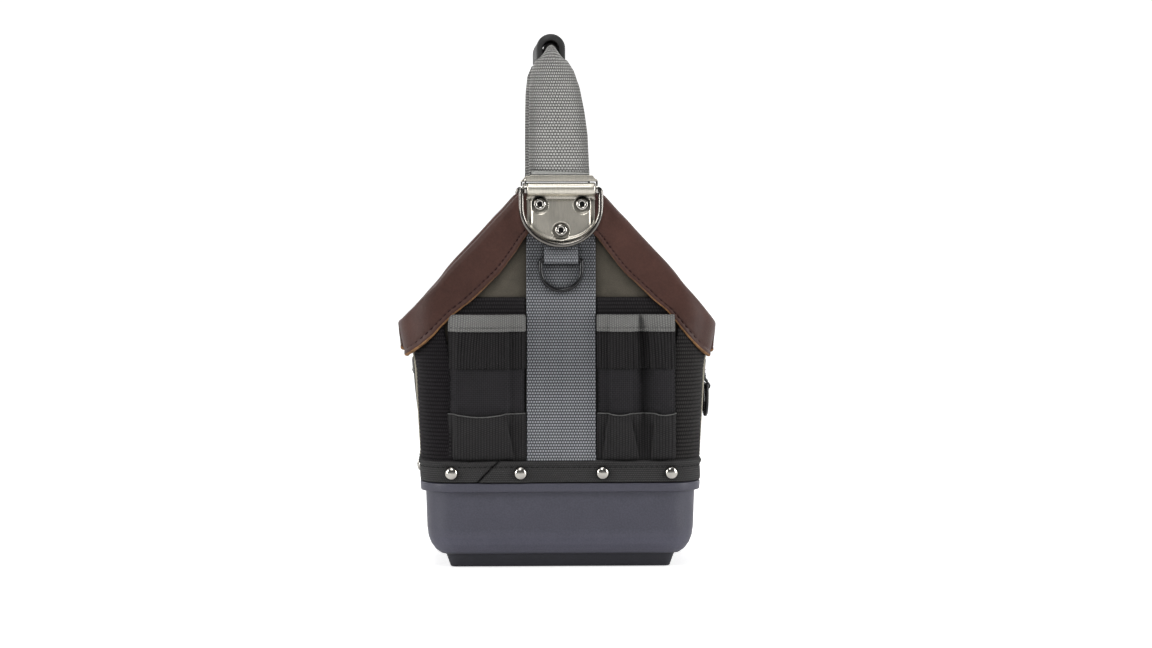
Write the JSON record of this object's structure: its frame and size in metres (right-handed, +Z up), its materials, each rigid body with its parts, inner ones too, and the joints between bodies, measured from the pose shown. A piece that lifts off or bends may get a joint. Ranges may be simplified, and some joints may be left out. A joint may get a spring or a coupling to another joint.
{
  "type": "electrician tool pouch",
  "caption": "Open-top fabric tool pouch on a moulded base tray, with leather-trimmed gables, pockets, hinged D-rings and a webbing carry handle.",
  "frame": {"origin": "centre of the underside of the base tray's foot", "axes": "+Z up, front face towards -Y, +X to the right of somebody looking at the front"},
  "size_m": [0.2266, 0.1614, 0.3917],
  "materials": {
    "base_plastic": "moulded, fine grain",
    "canvas_tan": "coated canvas",
    "black_nylon": "ballistic weave",
    "black_webbing": "ribbed webbing",
    "grey_webbing": "flat webbing",
    "leather": "oiled, stitched",
    "stainless": "polished and brushed",
    "black_wire": "black, satin",
    "grip_rubber": "moulded"
  },
  "bodies": {
    "pouch": {"base_tray": "base_plastic", "front_panel": "canvas_tan", "back_panel": "canvas_tan", "left_side_panel": "canvas_tan", "right_side_panel": "canvas_tan", "base_band": "black_webbing", "front_left_corner_webbing": "black_webbing", "front_right_corner_webbing": "black_webbing", "back_left_corner_webbing": "black_webbing", "back_right_corner_webbing": "black_webbing", "front_left_pocket": "black_nylon", "front_right_pocket": "black_nylon", "front_left_lower_pocket": "black_nylon", "front_right_lower_pocket": "black_nylon", "back_left_pocket": "black_nylon", "back_right_pocket": "black_nylon", "left_side_pocket": "black_nylon", "right_side_pocket": "black_nylon", "front_inner_pocket": "black_nylon", "back_inner_pocket": "black_nylon", "front_left_pocket_binding": "grey_webbing", "front_right_pocket_binding": "grey_webbing", "front_centre_webbing": "grey_webbing", "back_centre_webbing": "grey_webbing", "front_ring_keeper": "grey_webbing", "side_ring_keeper": "grey_webbing", "front_leather_trim": "leather", "back_leather_trim": "leather", "left_leather_trim": "leather", "right_leather_trim": "leather", "front_hinge_plate": "stainless", "front_backing_plate": "stainless", "front_hinge_rivet_1": "stainless", "front_hinge_rivet_2": "stainless", "front_hinge_rivet_3": "stainless", "front_base_rivet_1": "stainless", "front_base_rivet_2": "stainless", "front_base_rivet_3": "stainless", "front_base_rivet_4": "stainless", "back_hinge_plate": "stainless", "back_backing_plate": "stainless", "back_hinge_rivet_1": "stainless", "back_hinge_rivet_2": "stainless", "back_hinge_rivet_3": "stainless", "back_base_rivet_1": "stainless", "back_base_rivet_2": "stainless", "back_base_rivet_3": "stainless", "back_base_rivet_4": "stainless", "left_base_rivet": "stainless", "right_base_rivet": "stainless"},
    "front_strap": {"front_handle_strap": "grey_webbing", "front_strap_bail": "stainless"},
    "back_strap": {"back_handle_strap": "grey_webbing", "back_strap_bail": "stainless"},
    "grip": {"handle_grip": "grip_rubber", "grip_core_webbing": "grey_webbing"},
    "front_ring": {"front_large_d_ring": "stainless"},
    "back_ring": {"back_large_d_ring": "stainless"},
    "small_ring": {"front_small_d_ring": "black_wire"},
    "side_ring": {"side_d_ring": "black_wire"}
  },
  "joints": [
    {"name": "handle_swing", "type": "hinge", "parent": "pouch", "child": "front_strap", "pos_m": [0, -0.06432, 0.278], "axis": [1, 0, 0], "range_deg": [-70, 70], "stiffness_Nm_per_rad": 0.35},
    {"name": "grip_level", "type": "hinge", "parent": "front_strap", "child": "grip", "pos_m": [-0.007, -0.06432, 0.372], "axis": [1, 0, 0], "range_deg": [-70, 70]},
    {"name": "back_strap_level", "type": "hinge", "parent": "grip", "child": "back_strap", "pos_m": [-0.007, 0.06432, 0.372], "axis": [1, 0, 0], "range_deg": [-70, 70]},
    {"name": "front_ring_swing", "type": "hinge", "parent": "pouch", "child": "front_ring", "pos_m": [0, -0.06432, 0.278], "axis": [-1, 0, 0], "range_deg": [0, 95]},
    {"name": "back_ring_swing", "type": "hinge", "parent": "pouch", "child": "back_ring", "pos_m": [0, 0.06432, 0.278], "axis": [1, 0, 0], "range_deg": [0, 95]},
    {"name": "small_ring_swing", "type": "hinge", "parent": "pouch", "child": "small_ring", "pos_m": [0, -0.06585, 0.2265], "axis": [-1, 0, 0], "range_deg": [0, 90]},
    {"name": "side_ring_swing", "type": "hinge", "parent": "pouch", "child": "side_ring", "pos_m": [0.11111, 0, 0.1305], "axis": [0, -1, 0], "range_deg": [0, 90]}
  ],
  "couplings": [
    {"joint": "grip_level", "follows": "handle_swing", "ratio": -1},
    {"joint": "back_strap_level", "follows": "handle_swing", "ratio": 1}
  ]
}
